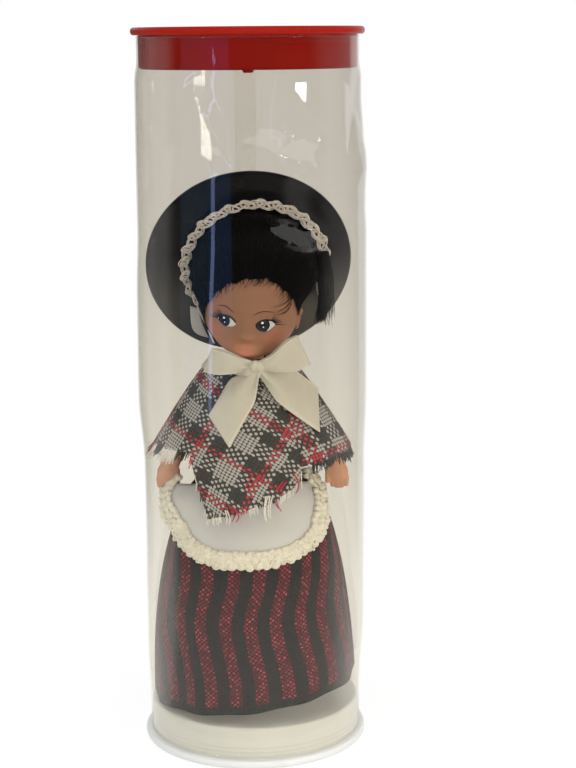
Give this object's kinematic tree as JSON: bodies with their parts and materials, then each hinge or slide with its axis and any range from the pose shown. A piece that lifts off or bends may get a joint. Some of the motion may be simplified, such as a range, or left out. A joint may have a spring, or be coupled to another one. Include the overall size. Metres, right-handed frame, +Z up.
{
  "type": "costume doll in display tube",
  "caption": "Dressed costume doll with tall-crowned hat, tartan shawl, apron and striped skirt, standing in a clear tube closed by a plug at each end; head, arms and legs turn.",
  "frame": {"origin": "centre of the underside of the base plug", "axes": "+Z up along the tube, the doll faces -Y, and its own left is +X"},
  "size_m": [0.0672, 0.0672, 0.212],
  "materials": {
    "red_plastic": "smooth moulded polythene, slight sheen",
    "white_plastic": "ivory moulded polythene, slight sheen",
    "clear_plastic": "thin clear plastic sheet, glossy, faintly warm, with dents",
    "skin_vinyl": "soft vinyl with painted features",
    "body_plastic": "hollow hard plastic",
    "shoe_vinyl": "black vinyl",
    "elastic": "plain rubber",
    "hair": "glossy black synthetic strands",
    "hat_card": "black coated card, satin",
    "bonnet_lace": "crochet chain in off-white yarn",
    "tartan": "coarse woven check in charcoal, white and crimson with frayed edges",
    "satin": "ivory satin ribbon",
    "apron_cotton": "fine white cotton",
    "apron_lace": "chunky ivory lace braid",
    "flannel": "black woven flannel with dark red speckled stripes",
    "petticoat_cotton": "stiff plain cotton"
  },
  "bodies": {
    "base": {"base_plug": "white_plastic"},
    "tube": {"clear_tube": "clear_plastic"},
    "cap": {"top_cap": "red_plastic"},
    "doll": {"torso_front": "body_plastic", "torso_back": "body_plastic", "arm_elastic": "elastic", "leg_elastic": "elastic", "skirt": "flannel", "skirt_waistband": "flannel", "petticoat": "petticoat_cotton", "apron": "apron_cotton", "apron_band": "apron_cotton", "apron_lace": "apron_lace", "shawl": "tartan", "ribbon_bow": "satin"},
    "head": {"head": "skin_vinyl", "hair": "hair", "hat_brim": "hat_card", "hat_crown": "hat_card", "hat_top": "hat_card", "bonnet_lace": "bonnet_lace"},
    "right_arm": {"right_arm": "skin_vinyl"},
    "left_arm": {"left_arm": "skin_vinyl"},
    "right_leg": {"right_leg": "body_plastic", "right_shoe": "shoe_vinyl"},
    "left_leg": {"left_leg": "body_plastic", "left_shoe": "shoe_vinyl"}
  },
  "joints": [
    {"name": "tube_lift", "type": "slide", "parent": "base", "child": "tube", "axis": [0, 0, 1], "range_m": [0, 0.18]},
    {"name": "cap_pull", "type": "slide", "parent": "tube", "child": "cap", "axis": [0, 0, 1], "range_m": [0, 0.03]},
    {"name": "doll_lift", "type": "slide", "parent": "base", "child": "doll", "axis": [0, 0, 1], "range_m": [0, 0.025]},
    {"name": "head_turn", "type": "hinge", "parent": "doll", "child": "head", "pos_m": [0, 0, 0.1195], "axis": [0, 0, 1], "range_deg": [-60, 60]},
    {"name": "right_arm_swing", "type": "hinge", "parent": "doll", "child": "right_arm", "pos_m": [-0.0092, 0, 0.1072], "axis": [1, 0, 0], "range_deg": [-18, 18]},
    {"name": "left_arm_swing", "type": "hinge", "parent": "doll", "child": "left_arm", "pos_m": [0.0092, 0, 0.1072], "axis": [1, 0, 0], "range_deg": [-18, 18]},
    {"name": "right_leg_swing", "type": "hinge", "parent": "doll", "child": "right_leg", "pos_m": [-0.0047, 0, 0.0697], "axis": [1, 0, 0], "range_deg": [-12, 12]},
    {"name": "left_leg_swing", "type": "hinge", "parent": "doll", "child": "left_leg", "pos_m": [0.0047, 0, 0.0697], "axis": [1, 0, 0], "range_deg": [-12, 12]}
  ]
}
